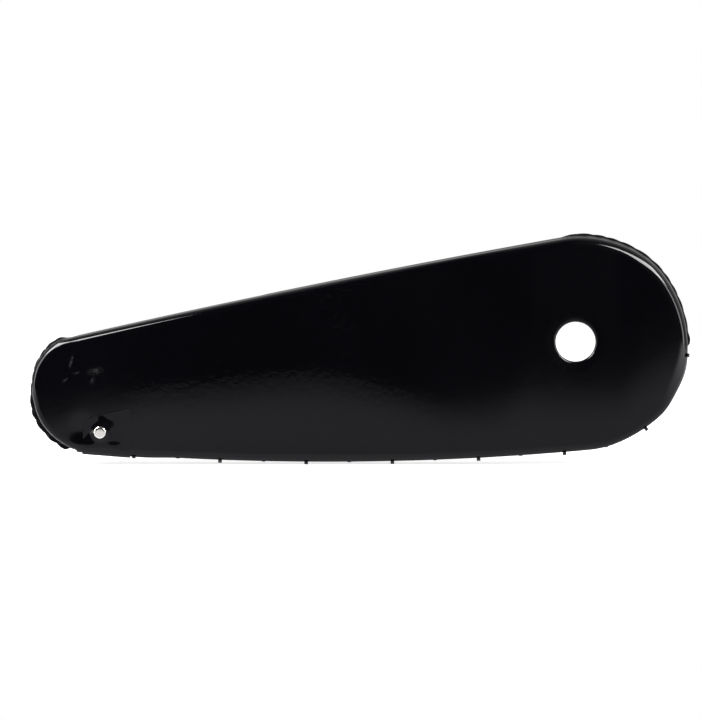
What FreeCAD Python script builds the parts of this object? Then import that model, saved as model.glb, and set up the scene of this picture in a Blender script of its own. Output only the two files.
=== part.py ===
import FreeCAD, Part
import os
from math import atan2, cos, pi, radians, sin, sqrt

V = FreeCAD.Vector

# Outline of the case, seen from the drive side: two end circles joined by two shallow bows
front_x = 5.0
front_z = -2.6
front_r = 103.9
rear_x = -472.5
rear_z = -51.0
rear_r = 57.0
top_bow_r = 9250.0
bottom_bow_r = 2850.0

# Cloth cover
depth = 36.0
cloth = 1.0
edge_r = 6.0
hem_width = 22.0

# Crank hole with a turned-in lip
crank_hole_r = 19.4
lip_r = 2.4
lip_depth = 5.0

# Gathers of the hem, angles counted from straight ahead
rear_gather_from = 116.0
rear_gather_to = 241.0
rear_gathers = 11
rear_gather_r = 4.4
front_gather_from = -2.0
front_gather_to = 98.0
front_gathers = 11
front_gather_r = 3.6
gather_slant = 11.0
gather_overlap = 1.3
gather_shoulder = 0.5
gather_tip_r = 0.8
gather_back_gap = 8.5

# Wire frame
loop_wire_r = 2.0
spacer_wire_r = 1.5
spacer_count = 10
spacer_start = 30.0
fit_gap = 0.1
weld_gap = 0.05

# Strip hooks through the underside
hook_width = 3.6
hook_strip = 1.2
hook_stand_off = 1.3
hook_leg = 5.0
hook_slot_gap = 0.4
hook_pitch = 42.0
hook_start = 47.4
hook_count = 15

# Closing tab and the slit that it covers
stud_ahead = 9.8
stud_drop = 37.0
tab_reach = 29.2
tab_round_r = 16.5
tab_top_angle = 102.0
tab_back_height = 16.0
slit_width = 1.4
slit_ahead = 12.7

# Press stud
snap_gap = 3.0
raised_r = 6.6
bulge_r = 14.0
cap_r = 6.0
cap_crown_r = 4.0
cap_rim = 0.7
cap_height = 2.0
cap_post_r = 2.0
socket_r = 5.2
ball_base_r = 4.6
ball_base = 0.5
ball_neck_r = 2.1
ball_r = 2.7
post_flange_r = 4.5
post_flange = 0.5
post_r = 1.6
stud_fit = 0.1

# Fixing lugs
lug_thickness = 2.0
lug_width = 18.0
lug_hole_r = 2.75
lug_hole_inset = 38.0
front_lug_after = 7
rear_lug_after = 9

across = V(0, 1, 0)
bend_angles = [0, pi / 4, pi / 2]
front_centre = V(front_x, 0, front_z)
rear_centre = V(rear_x, 0, rear_z)
stud_centre = rear_centre + V(stud_ahead, 0, -stud_drop)


def bow_centre(bow_r, side):
    """Centre of a bow that both end circles touch from inside; side +1 lies above the case."""
    line = front_centre - rear_centre
    span = line.Length
    along = V(line).normalize()
    up = V(-along.z, 0, along.x)
    to_rear = bow_r - rear_r
    to_front = bow_r - front_r
    shift = (to_rear ** 2 - to_front ** 2 + span ** 2) / (2 * span)
    rise = sqrt(to_rear ** 2 - shift ** 2)
    return rear_centre + along * shift + up * (side * rise)


def angle_at(centre, point):
    return atan2(point.z - centre.z, point.x - centre.x)


def direction(angle):
    return V(cos(angle), 0, sin(angle))


def on_circle(centre, radius, angle, y=0.0):
    return centre + direction(angle) * radius + across * y


# Runs of the outline, anticlockwise from the lower rear: centre, radius, start and end angle
top_centre = bow_centre(top_bow_r, -1)
bottom_centre = bow_centre(bottom_bow_r, 1)
bottom_from = angle_at(bottom_centre, rear_centre)
bottom_to = angle_at(bottom_centre, front_centre)
top_from = angle_at(top_centre, front_centre)
top_to = angle_at(top_centre, rear_centre)
bottom_run = (bottom_centre, bottom_bow_r, bottom_from, bottom_to)
front_run = (front_centre, front_r, bottom_to, top_from)
top_run = (top_centre, top_bow_r, top_from, top_to)
rear_run = (rear_centre, rear_r, top_to, bottom_from + 2 * pi)
runs = [bottom_run, front_run, top_run, rear_run]
outline_length = sum(radius * (end - start) for centre, radius, start, end in runs)


def outline(inset, y):
    """Closed wire of the outline, moved inward by inset."""
    edges = []
    for centre, radius, start, end in runs:
        first = on_circle(centre, radius - inset, start, y)
        middle = on_circle(centre, radius - inset, (start + end) / 2, y)
        last = on_circle(centre, radius - inset, end, y)
        edges.append(Part.Arc(first, middle, last).toShape())
    return Part.Wire(edges)


def around(distance):
    """Point on the outline and its outward direction, at a distance along it from the lower rear."""
    left = distance % outline_length
    for centre, radius, start, end in runs:
        angle = start + left / radius
        left -= radius * (end - start)
        if left <= 0:
            break
    return on_circle(centre, radius, angle), direction(angle)


def turned(profile, centre, start, sweep):
    """Solid of a profile of (radius, y) corners, turned about an axis along Y through centre."""
    corners = [on_circle(centre, radius, start, y) for radius, y in profile]
    face = Part.Face(Part.makePolygon(corners + corners[:1]))
    return face.revolve(centre, -across, sweep * 180 / pi)


def swept(section, on_runs):
    """Solids of a section of (inset, y) corners, carried along runs of the outline."""
    solids = []
    for centre, radius, start, end in on_runs:
        profile = [(radius - inset, y) for inset, y in section]
        solids.append(turned(profile, centre, start, end - start))
    return solids


def skin(grow):
    """Corners (inset, y) over the front edge, rim and back edge, grown outward from the cloth's face."""
    bend = edge_r + grow
    corners = [(edge_r - bend * sin(angle), edge_r - bend * cos(angle)) for angle in bend_angles]
    return corners + [(inset, depth - y) for inset, y in reversed(corners)]


def placed(shape, origin, x_dir, z_dir):
    """Shape built along X with Z outward, moved to origin and turned to the two directions."""
    turn = FreeCAD.Rotation(x_dir, z_dir.cross(x_dir), z_dir, "ZXY")
    shape.Placement = FreeCAD.Placement(origin, turn)
    return shape


def disc(radius, y_from, y_to, centre):
    return Part.makeCylinder(radius, y_to - y_from, centre + across * y_from, across)


# Cloth cover: flat panel, and one section carried round the outline from the panel to the hem
cover_section = skin(0) + [(hem_width, depth), (hem_width, depth - cloth)] + skin(-cloth)[::-1]
panel = Part.Face(outline(edge_r, 0)).extrude(across * cloth)
cover = panel.fuse(swept(cover_section, runs))


# Gathers: six-sided lens-shaped folds, slanted like the turns of a rope, on the outside of the rim
def gather(length, radius):
    half = length / 2
    shoulder = half * gather_shoulder
    shoulder_r = radius - (radius - gather_tip_r) * gather_shoulder ** 2
    sizes = [
        (-half, gather_tip_r),
        (-shoulder, shoulder_r),
        (shoulder, shoulder_r),
        (half, gather_tip_r),
    ]
    rings = []
    for x, size in sizes:
        rings.append([V(x, size * cos(pi / 3 * side), size * sin(pi / 3 * side)) for side in range(6)])
    faces = [Part.Face(Part.makePolygon(ring + ring[:1])) for ring in (rings[0], rings[-1])]
    for ring, following in zip(rings, rings[1:]):
        for side in range(6):
            corners = [ring[side], ring[side - 1], following[side - 1], following[side]]
            faces.append(Part.Face(Part.makePolygon(corners + corners[:1])))
    return Part.makeSolid(Part.makeShell(faces))


def gathers(centre, radius, start, end, count, fold_r):
    step = radians(end - start) / count
    core = [(0, cloth)] + [(radius - inset, y) for inset, y in skin(-cloth)] + [(0, depth - cloth)]
    core_solid = turned(core, centre, 0, 2 * pi)
    row = []
    for number in range(count):
        angle = radians(start) + (number + 0.5) * step
        tangent = V(-sin(angle), 0, cos(angle))
        slanted = tangent * cos(radians(gather_slant)) + across * sin(radians(gather_slant))
        fold = gather(radius * step * gather_overlap, fold_r)
        spot = on_circle(centre, radius, angle, depth - gather_back_gap)
        row.append(placed(fold, spot, slanted, direction(angle)).cut(core_solid))
    return row


rear_row = gathers(
    rear_centre, rear_r, rear_gather_from, rear_gather_to, rear_gathers, rear_gather_r
)
front_row = gathers(
    front_centre, front_r, front_gather_from, front_gather_to, front_gathers, front_gather_r
)
cover = cover.fuse(rear_row + front_row)

# Turned-in lip of the crank hole; the middle of its wall becomes the origin of the finished part
hole_centre = V(0, 0, 0)
hole_middle = (lip_r + lip_depth) / 2
lip_edge_r = crank_hole_r + lip_r


def lip_bend(bend):
    return [(lip_edge_r - bend * sin(angle), lip_r - bend * cos(angle)) for angle in bend_angles]


lip_profile = lip_bend(lip_r) + [(crank_hole_r, lip_depth), (crank_hole_r + cloth, lip_depth)]
lip_profile += lip_bend(lip_r - cloth)[::-1]
lip = turned(lip_profile, hole_centre, 0, 2 * pi)
cover = cover.cut(disc(lip_edge_r, -cloth, 2 * cloth, hole_centre)).fuse(lip)

# Wire loops, drawn eight-sided; each lies against the two flats of a turned cloth edge
flat_r = loop_wire_r * cos(pi / 8)
bend_room = edge_r - cloth - (loop_wire_r + fit_gap) / cos(pi / 8)
loop_inset = edge_r - bend_room * sqrt(0.5)
front_loop_y = loop_inset
back_loop_y = depth - loop_inset


def loop(y):
    section = []
    for number in range(8):
        angle = pi / 4 * (number + 0.5)
        section.append((loop_inset + loop_wire_r * cos(angle), y + loop_wire_r * sin(angle)))
    first, second, third, last = swept(section, runs)
    return first.fuse([second, third, last]).removeSplitter()


front_loop = loop(front_loop_y)
back_loop = loop(back_loop_y)

# Spacer wires, eight-sided too, welded across the inner side of both loops
spacer_flat_r = spacer_wire_r * cos(pi / 8)
spacer_inset = loop_inset + flat_r + spacer_flat_r + weld_gap
spacer_length = back_loop_y - front_loop_y + 2 * flat_r
spacer_pitch = outline_length / spacer_count
spacers = []
for number in range(spacer_count):
    point, outward = around(spacer_start + number * spacer_pitch)
    foot = point - outward * spacer_inset + across * (front_loop_y - flat_r)
    turn = angle_at(V(0, 0, 0), outward)
    corners = [foot + direction(turn + pi / 4 * (side + 0.5)) * spacer_wire_r for side in range(8)]
    spacers.append(Part.Face(Part.makePolygon(corners + corners[:1])).extrude(across * spacer_length))


# Hooks: a strip welded to the side of a loop, through a slot in the cloth, with a leg under the cloth
def strip(point, outward, width, corners):
    """Bar of a given width along the outline; corners are (distance outward, y)."""
    side = across.cross(outward) * (width / 2)
    ring = [point + outward * out + across * y - side for out, y in corners]
    return Part.Face(Part.makePolygon(ring + ring[:1])).extrude(side * 2)


near_hooks = []
far_hooks = []
slots = []
for number in range(hook_count):
    point, outward = around(hook_start + number * hook_pitch)
    near = number % 2 == 0
    way = -1 if near else 1
    loop_y = front_loop_y if near else back_loop_y
    face_y = loop_y - way * (flat_r + weld_gap)
    back_y = face_y - way * hook_strip
    tip_y = back_y + way * hook_leg
    top = -loop_inset - flat_r
    under = hook_stand_off
    low = hook_stand_off + hook_strip
    corners = [(top, face_y), (under, face_y), (under, tip_y), (low, tip_y), (low, back_y), (top, back_y)]
    row = near_hooks if near else far_hooks
    row.append(strip(point, outward, hook_width, corners))
    slot_from = face_y + way * hook_slot_gap
    slot_to = back_y - way * hook_slot_gap
    slot = [(-2 * cloth, slot_from), (cloth, slot_from), (cloth, slot_to), (-2 * cloth, slot_to)]
    slots.append(strip(point, outward, hook_width + 2 * hook_slot_gap, slot))
cover = cover.cut(slots)

# Slit in the underside, and the hole for the post of the press stud
under_z = rear_z - rear_r
slit_x = stud_centre.x + slit_ahead
slit_foot = V(slit_x - slit_width / 2, edge_r + 2 * cloth, under_z - hem_width)
slit = Part.makeBox(slit_width, depth, 2 * hem_width + edge_r, slit_foot)
post_hole = disc(post_r + stud_fit, -cloth, 2 * cloth, stud_centre)
cover = cover.cut([slit, post_hole]).removeSplitter()

# Closing tab: follows the case round its lower edge and rises over the press stud
tab_start = -snap_gap - 2 * cloth
tab_right_x = stud_centre.x + tab_reach
tangent_point = on_circle(stud_centre, tab_round_r, radians(tab_top_angle), tab_start)
round_middle = on_circle(stud_centre, tab_round_r, radians((tab_top_angle + 180) / 2), tab_start)
round_end = on_circle(stud_centre, tab_round_r, pi, tab_start)
top_slope = -cos(radians(tab_top_angle)) / sin(radians(tab_top_angle))
tab_top_z = tangent_point.z + top_slope * (tab_right_x - tangent_point.x)
tab_low_z = under_z - hem_width
top_corner = V(tab_right_x, tab_start, tab_top_z)
low_right = V(tab_right_x, tab_start, tab_low_z)
low_left = V(round_end.x, tab_start, tab_low_z)
tab_outline = Part.Wire([
    Part.makeLine(top_corner, tangent_point),
    Part.Arc(tangent_point, round_middle, round_end).toShape(),
    Part.makeLine(round_end, low_left),
    Part.makeLine(low_left, low_right),
    Part.makeLine(low_right, top_corner),
])
tab_prism = Part.Face(tab_outline).extrude(across * (depth - 2 * tab_start))
tab_out = fit_gap + cloth
tab_section = skin(tab_out) + [(tab_back_height, depth + tab_out), (tab_back_height, depth + fit_gap)]
tab_section += skin(fit_gap)[::-1]
tab_plate = Part.Face(outline(edge_r, -tab_out)).extrude(across * cloth)
tab = tab_plate.fuse(swept(tab_section, [bottom_run, rear_run])).common(tab_prism)
tab = tab.cut(disc(bulge_r, tab_start, depth / 2, stud_centre))
raised = -snap_gap - cloth
bulge_profile = [
    (cap_post_r + stud_fit, raised),
    (raised_r, raised),
    (bulge_r, -tab_out),
    (bulge_r, -fit_gap),
    (raised_r - cloth / 2, -snap_gap),
    (cap_post_r + stud_fit, -snap_gap),
]
tab = tab.fuse(turned(bulge_profile, stud_centre, 0, 2 * pi)).removeSplitter()

# Press stud: cap outside the tab, socket under it, ball on the panel, post behind the panel
cap_end = -snap_gap + cloth / 2
cap = turned([
    (0, raised - cap_height),
    (cap_crown_r, raised - cap_height),
    (cap_r, raised - cap_rim),
    (cap_r, raised),
    (cap_post_r, raised),
    (cap_post_r, cap_end),
    (0, cap_end),
], stud_centre, 0, 2 * pi)
socket_low = -ball_base - stud_fit
socket = turned([
    (cap_post_r + stud_fit, -snap_gap),
    (socket_r, -snap_gap),
    (socket_r, socket_low),
    (ball_r + stud_fit, socket_low),
    (ball_r + stud_fit, cap_end + stud_fit),
    (cap_post_r + stud_fit, cap_end + stud_fit),
], stud_centre, 0, 2 * pi)
ball_top = cap_end + 2 * stud_fit
ball_under = -ball_base - stud_fit * 4
ball = turned([
    (0, 0),
    (ball_base_r, 0),
    (ball_base_r, -ball_base),
    (ball_neck_r, -ball_base),
    (ball_neck_r, ball_under),
    (ball_r, ball_under),
    (ball_r, ball_top),
    (0, ball_top),
], stud_centre, 0, 2 * pi)
post = turned([
    (0, 0),
    (post_r, 0),
    (post_r, cloth),
    (post_flange_r, cloth),
    (post_flange_r, cloth + post_flange),
    (0, cloth + post_flange),
], stud_centre, 0, 2 * pi)


# Fixing lugs: flat steel welded inside the back loop, midway between two spacers, with a screw hole
def lug(after_spacer):
    point, outward = around(spacer_start + (after_spacer - 0.5) * spacer_pitch)
    lift = across * (back_loop_y - lug_thickness / 2)
    root = point - outward * (loop_inset + flat_r + weld_gap) + lift
    hole = point - outward * lug_hole_inset + lift
    half = across.cross(outward) * (lug_width / 2)
    end = hole - outward * (lug_width / 2)
    plate = Part.Wire([
        Part.makeLine(root - half, hole - half),
        Part.Arc(hole - half, end, hole + half).toShape(),
        Part.makeLine(hole + half, root + half),
        Part.makeLine(root + half, root - half),
    ])
    blank = Part.Face(plate).extrude(across * lug_thickness)
    return blank.cut(Part.makeCylinder(lug_hole_r, lug_thickness, hole, across))


# Files, one for each node
nodes = {
    "cloth_cover": cover,
    "closing_tab": tab,
    "stud_cap": cap,
    "stud_socket": socket,
    "stud_ball": ball,
    "stud_post": post,
    "front_wire_loop": front_loop,
    "back_wire_loop": back_loop,
    "near_hooks": Part.makeCompound(near_hooks),
    "far_hooks": Part.makeCompound(far_hooks),
    "front_fixing_lug": lug(front_lug_after),
    "rear_fixing_lug": lug(rear_lug_after),
}
for number, spacer in enumerate(spacers):
    nodes["spacer_wire_%02d" % (number + 1)] = spacer
os.makedirs("parts", exist_ok=True)
for name, shape in nodes.items():
    shape.translate(across * -hole_middle)
    shape.exportStep("parts/%s.step" % name)
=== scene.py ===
import bpy
import bmesh
from math import atan2, cos, degrees, exp, hypot, log, pi, radians, sin, sqrt
from mathutils import Matrix, Vector


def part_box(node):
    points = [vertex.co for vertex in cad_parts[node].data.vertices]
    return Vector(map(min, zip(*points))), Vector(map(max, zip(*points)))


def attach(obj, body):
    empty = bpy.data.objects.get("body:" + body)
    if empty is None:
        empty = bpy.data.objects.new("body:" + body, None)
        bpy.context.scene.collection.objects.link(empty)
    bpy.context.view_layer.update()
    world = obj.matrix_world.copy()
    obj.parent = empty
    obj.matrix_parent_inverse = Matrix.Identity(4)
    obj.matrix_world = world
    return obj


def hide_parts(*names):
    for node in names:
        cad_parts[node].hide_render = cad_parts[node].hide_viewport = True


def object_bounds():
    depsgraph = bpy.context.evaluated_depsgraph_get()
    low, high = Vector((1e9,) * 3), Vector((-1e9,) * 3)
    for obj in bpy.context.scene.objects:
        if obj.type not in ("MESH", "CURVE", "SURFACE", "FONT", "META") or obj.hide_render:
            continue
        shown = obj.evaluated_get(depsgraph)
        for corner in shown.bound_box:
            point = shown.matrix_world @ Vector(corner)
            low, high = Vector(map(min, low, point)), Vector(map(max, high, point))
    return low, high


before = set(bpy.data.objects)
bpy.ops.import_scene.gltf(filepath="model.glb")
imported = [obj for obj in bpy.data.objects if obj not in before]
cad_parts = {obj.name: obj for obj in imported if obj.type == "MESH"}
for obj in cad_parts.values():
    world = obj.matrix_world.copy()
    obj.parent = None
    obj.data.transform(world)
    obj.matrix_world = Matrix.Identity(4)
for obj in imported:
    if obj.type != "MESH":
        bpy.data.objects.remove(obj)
cad_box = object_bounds()

# Outline of the case, in metres: two end circles joined by two shallow bows
FRONT_X, FRONT_Z, FRONT_R = 0.005, -0.0026, 0.1039
REAR_X, REAR_Z, REAR_R = -0.4725, -0.051, 0.057
TOP_BOW_R = 9.25
BOTTOM_BOW_R = 2.85

# Cloth cover
FACE_Y = -0.0037
DEPTH = 0.036
CLOTH = 0.001
EDGE_R = 0.006
EDGE_EASE = 0.0008
HEM = 0.022
CRANK_HOLE_R = 0.0194
LIP_R = 0.0024
LIP_DEPTH = 0.005

# Wire frame
LOOP_INSET = 0.00407
LOOP_WIRE_R = 0.002
SPACER_WIRE_R = 0.0015
SPACER_ROUND = 0.0005
SPACER_INSET = 0.008
FRONT_LOOP_Y = 0.000372
BACK_LOOP_Y = 0.028228
BEAD_OUT = 0.0014
BEAD_SIZE = (0.0011, 0.0021, 0.0021)

# Closing tab and press stud
STUD_X, STUD_Z = -0.4627, -0.088
TAB_CLOTH = 0.0009
TAB_RIGHT_X = -0.4335
TAB_ROUND_R = 0.0165
TAB_TOP_ANGLE = radians(102)
TAB_OUT = 0.0011
TAB_BEND = EDGE_R + TAB_OUT
TAB_BACK = 0.016
TAB_RISE = 0.0029
TAB_SAG = 0.0014
CAP_Y = -0.0077
SLIT_X = -0.450
SLIT_HALF = 0.0007
SLIT_FRONT_Y = 0.0043


# Points on the outline

def bow_centre(bow_r, side):
    """Centre of a bow that both end circles touch from inside."""
    span = hypot(FRONT_X - REAR_X, FRONT_Z - REAR_Z)
    along = Vector((FRONT_X - REAR_X, FRONT_Z - REAR_Z)) / span
    up = Vector((-along.y, along.x))
    shift = ((bow_r - REAR_R) ** 2 - (bow_r - FRONT_R) ** 2 + span ** 2) / (2 * span)
    rise = sqrt((bow_r - REAR_R) ** 2 - shift ** 2)
    return Vector((REAR_X, REAR_Z)) + along * shift + up * (side * rise)


front_end = (Vector((FRONT_X, FRONT_Z)), FRONT_R)
rear_end = (Vector((REAR_X, REAR_Z)), REAR_R)
top_bow = (bow_centre(TOP_BOW_R, -1), TOP_BOW_R)
bottom_bow = (bow_centre(BOTTOM_BOW_R, 1), BOTTOM_BOW_R)


def touch(end, bow, inset):
    """Where an end circle and a bow touch, moved inward by inset."""
    outward = (end[0] - bow[0]).normalized()
    return end[0] + outward * (end[1] - inset)


def edge_at(x, upper, inset):
    """Height of the outline at x and its outward direction, moved inward by inset."""
    bow = top_bow if upper else bottom_bow
    if x <= touch(rear_end, bow, inset).x:
        centre, radius = rear_end
    elif x >= touch(front_end, bow, inset).x:
        centre, radius = front_end
    else:
        centre, radius = bow
    reach = radius - inset
    rise = sqrt(max(reach ** 2 - (x - centre.x) ** 2, 0.0))
    point = Vector((x, centre.y + (rise if upper else -rise)))
    return point, (point - centre).normalized()


def outline_runs():
    """Centre, radius, first angle and sweep of the four runs: bottom bow, front, top bow, rear."""
    order = (bottom_bow, front_end, top_bow, rear_end)
    joins = (
        touch(rear_end, bottom_bow, 0), touch(front_end, bottom_bow, 0),
        touch(front_end, top_bow, 0), touch(rear_end, top_bow, 0),
    )
    runs = []
    for number, (centre, radius) in enumerate(order):
        begin = joins[number] - centre
        end = joins[(number + 1) % 4] - centre
        first = atan2(begin.y, begin.x)
        runs.append((centre, radius, first, (atan2(end.y, end.x) - first) % (2 * pi)))
    return runs


# Small helpers

def smooth_step(low, high, value):
    """Smooth rise from 0 at low to 1 at high, or fall where low lies above high."""
    part = min(max((value - low) / (high - low), 0.0), 1.0)
    return part * part * (3 - 2 * part)


def hump(rise_from, rise_to, fall_from, fall_to, value):
    """Smooth rise from 0 to 1, followed by a fall back to 0."""
    return smooth_step(rise_from, rise_to, value) * smooth_step(fall_to, fall_from, value)


def turn_of(outward):
    """Angle of an outward direction in degrees, counted from straight ahead."""
    return degrees(atan2(outward.z, outward.x))


def new_verts(made):
    return [part for part in made if isinstance(part, bmesh.types.BMVert)]


def new_edges(made):
    return [part for part in made if isinstance(part, bmesh.types.BMEdge)]


def face_forward(bm, before_y):
    """Turns the faces all one way, so that those in front of before_y look to the front."""
    bmesh.ops.recalc_face_normals(bm, faces=bm.faces)
    facing = sum(face.normal.y for face in bm.faces if face.calc_center_median().y < before_y)
    if facing > 0:
        bmesh.ops.reverse_faces(bm, faces=bm.faces)


def finish_piece(name, bm, materials):
    """Object of a bmesh, at the origin, riding on the only body."""
    mesh = bpy.data.meshes.new(name)
    bm.to_mesh(mesh)
    bm.free()
    for material in materials:
        mesh.materials.append(material)
    mesh.polygons.foreach_set("use_smooth", [True] * len(mesh.polygons))
    piece = bpy.data.objects.new(name, mesh)
    bpy.context.scene.collection.objects.link(piece)
    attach(piece, "root")
    return piece


def thicken(piece, thickness, inner_step):
    """Thickens a sheet inward; inner_step leads from a face's material to the one of its inner side."""
    wall = piece.modifiers.new("cloth thickness", "SOLIDIFY")
    wall.thickness = thickness
    wall.offset = -1.0
    wall.material_offset = inner_step
    wall.material_offset_rim = 0


# Helpers for shader nodes

def add(tree, kind, inputs=None, **settings):
    """Node with settings, and with inputs given as values or as sockets to link."""
    made = tree.nodes.new(kind)
    for name, value in settings.items():
        setattr(made, name, value)
    for name, value in (inputs or {}).items():
        socket = made.inputs[name]
        if isinstance(value, bpy.types.NodeSocket):
            tree.links.new(value, socket)
        else:
            socket.default_value = value
    return made


def compute(tree, operation, first, second=0.0, third=0.0, clamp=False):
    numbers = {0: first, 1: second, 2: third}
    return add(tree, "ShaderNodeMath", numbers, operation=operation, use_clamp=clamp).outputs[0]


def ramp(tree, value, low, high, to_low=0.0, to_high=1.0):
    """Smooth change from to_low to to_high while the value goes from low to high."""
    made = add(
        tree, "ShaderNodeMapRange",
        {"Value": value, "From Min": low, "From Max": high, "To Min": to_low, "To Max": to_high},
        interpolation_type="SMOOTHSTEP",
    )
    return made.outputs["Result"]


def tint(tree, mask, first, second):
    """First colour where the mask is 0, second colour where it is 1."""
    made = add(tree, "ShaderNodeMix", {0: mask}, data_type="RGBA")
    for index, value in ((6, first), (7, second)):
        if isinstance(value, bpy.types.NodeSocket):
            tree.links.new(value, made.inputs[index])
        else:
            made.inputs[index].default_value = (*value, 1.0)
    return made.outputs[2]


def noise(tree, where, scale, detail, roughness=0.5):
    inputs = {"Vector": where, "Scale": scale, "Detail": detail, "Roughness": roughness}
    return add(tree, "ShaderNodeTexNoise", inputs).outputs["Fac"]


def bump(tree, height, strength, distance, below=None):
    """Normal of a relief, laid over the relief below where there is one."""
    inputs = {"Height": height, "Strength": strength, "Distance": distance}
    if below is not None:
        inputs["Normal"] = below
    return add(tree, "ShaderNodeBump", inputs).outputs[0]


def axes(tree, where):
    return add(tree, "ShaderNodeSeparateXYZ", {0: where}).outputs


def object_place(tree):
    return add(tree, "ShaderNodeTexCoord").outputs["Object"]


def new_group(name, inputs, outputs):
    tree = bpy.data.node_groups.new(name, "ShaderNodeTree")
    for label, default in inputs:
        made = tree.interface.new_socket(label, in_out="INPUT", socket_type="NodeSocketFloat")
        made.default_value = default
    for label in outputs:
        tree.interface.new_socket(label, in_out="OUTPUT", socket_type="NodeSocketFloat")
    given = tree.nodes.new("NodeGroupInput")
    result = tree.nodes.new("NodeGroupOutput")
    return tree, given.outputs, result.inputs


def place(tree, group, values):
    made = tree.nodes.new("ShaderNodeGroup")
    made.node_tree = group
    for label, value in values.items():
        made.inputs[label].default_value = value
    return made.outputs


def new_material(name):
    made = bpy.data.materials.new(name)
    made.use_nodes = True
    return made, made.node_tree, made.node_tree.nodes["Principled BSDF"]


# Effects that several materials share

def weave_group():
    """Plain weave that runs over the panel, the rim and the ends of the case."""
    tree, given, result = new_group("plain weave", [("Threads per metre", 1400.0)], ["Height", "Shade"])
    where = object_place(tree)
    parts = axes(tree, where)
    turn = compute(tree, "MULTIPLY", given["Threads per metre"], pi)
    warp = compute(tree, "MULTIPLY", compute(tree, "ADD", parts["X"], parts["Y"]), turn)
    weft = compute(tree, "MULTIPLY", compute(tree, "ADD", parts["Z"], parts["Y"]), turn)
    over = compute(tree, "MULTIPLY", compute(tree, "SINE", warp), compute(tree, "SINE", weft))
    tree.links.new(compute(tree, "MULTIPLY_ADD", over, 0.5, 0.5), result["Height"])
    tree.links.new(noise(tree, where, 900.0, 2.0), result["Shade"])
    return tree


# Sets of hair scratches: turn about Y and scale of the noise that draws them
SCRATCHES = ((0.5, 1040.0), (-0.35, 1320.0), (1.9, 840.0))
SCRATCH_STRETCH = 0.035


def rub_group():
    """Fine hair scratches and small dull scuffs."""
    amounts = [("Scratch amount", 0.5), ("Scuff amount", 0.5)]
    tree, given, result = new_group("rub marks", amounts, ["Scratch", "Scuff"])
    where = object_place(tree)
    scratch = None
    for turn, scale in SCRATCHES:
        turned = add(tree, "ShaderNodeMapping", {
            "Vector": where, "Rotation": (0.0, turn, 0.0), "Scale": (SCRATCH_STRETCH, 1.0, 1.0),
        })
        thin = ramp(tree, noise(tree, turned.outputs[0], scale, 1.0), 0.735, 0.78)
        scratch = thin if scratch is None else compute(tree, "MAXIMUM", scratch, thin)
    patch = noise(tree, where, 11.0, 2.0)
    scratch = compute(tree, "MULTIPLY", scratch, ramp(tree, patch, 0.45, 0.7))
    tree.links.new(compute(tree, "MULTIPLY", scratch, given["Scratch amount"]), result["Scratch"])
    grain = noise(tree, where, 420.0, 4.0)
    spots = compute(tree, "MULTIPLY", ramp(tree, grain, 0.56, 0.7), ramp(tree, patch, 0.5, 0.75))
    tree.links.new(compute(tree, "MULTIPLY", spots, given["Scuff amount"]), result["Scuff"])
    return tree


weave = weave_group()
rub = rub_group()


def rub_mask(tree, scratch_amount, scuff_amount):
    marks = place(tree, rub, {"Scratch amount": scratch_amount, "Scuff amount": scuff_amount})
    return compute(tree, "MAXIMUM", marks["Scratch"], marks["Scuff"], clamp=True)


# Materials

# Dull streaks on the panel near the rear end: middle, turn, half width, half height and strength
SCUFFS = (
    ((-0.4905, FACE_Y, -0.0190), 0.25, 0.0016, 0.0075, 0.8),
    ((-0.4965, FACE_Y, -0.0375), 0.9, 0.0016, 0.0036, 0.8),
    ((-0.4855, FACE_Y, -0.0305), 1.2, 0.0014, 0.0040, 0.6),
    ((-0.4672, FACE_Y, -0.0285), 1.4, 0.0046, 0.0095, 0.35),
    ((-0.4672, FACE_Y, -0.0280), 1.4, 0.0026, 0.0042, 0.9),
    ((-0.4697, FACE_Y, -0.0374), 0.3, 0.0026, 0.0042, 0.45),
)
SCUFF_DEPTH = 0.02
LACQUER_IOR = 1.29
# The folds get the same lacquer with far weaker reflection: painted shade that keeps the gathered roll dark.
PANEL_SHINE, SHADED_FOLD_SHINE = 0.5, 0.035


def scuff_mask(tree, where):
    """The dull streaks, broken up by a fine grain."""
    scuffs = None
    for spot, turn, wide, tall, strength in SCUFFS:
        local = add(tree, "ShaderNodeMapping", {
            "Vector": where, "Location": spot, "Rotation": (0.0, turn, 0.0),
            "Scale": (wide, SCUFF_DEPTH, tall),
        }, vector_type="TEXTURE")
        away = add(tree, "ShaderNodeVectorMath", {0: local.outputs[0]}, operation="LENGTH").outputs["Value"]
        near = ramp(tree, away, 0.0, 1.15, strength, 0.0)
        scuffs = near if scuffs is None else compute(tree, "MAXIMUM", scuffs, near)
    return compute(tree, "MULTIPLY", scuffs, ramp(tree, noise(tree, where, 700.0, 5.0, 0.65), 0.38, 0.66))


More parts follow.
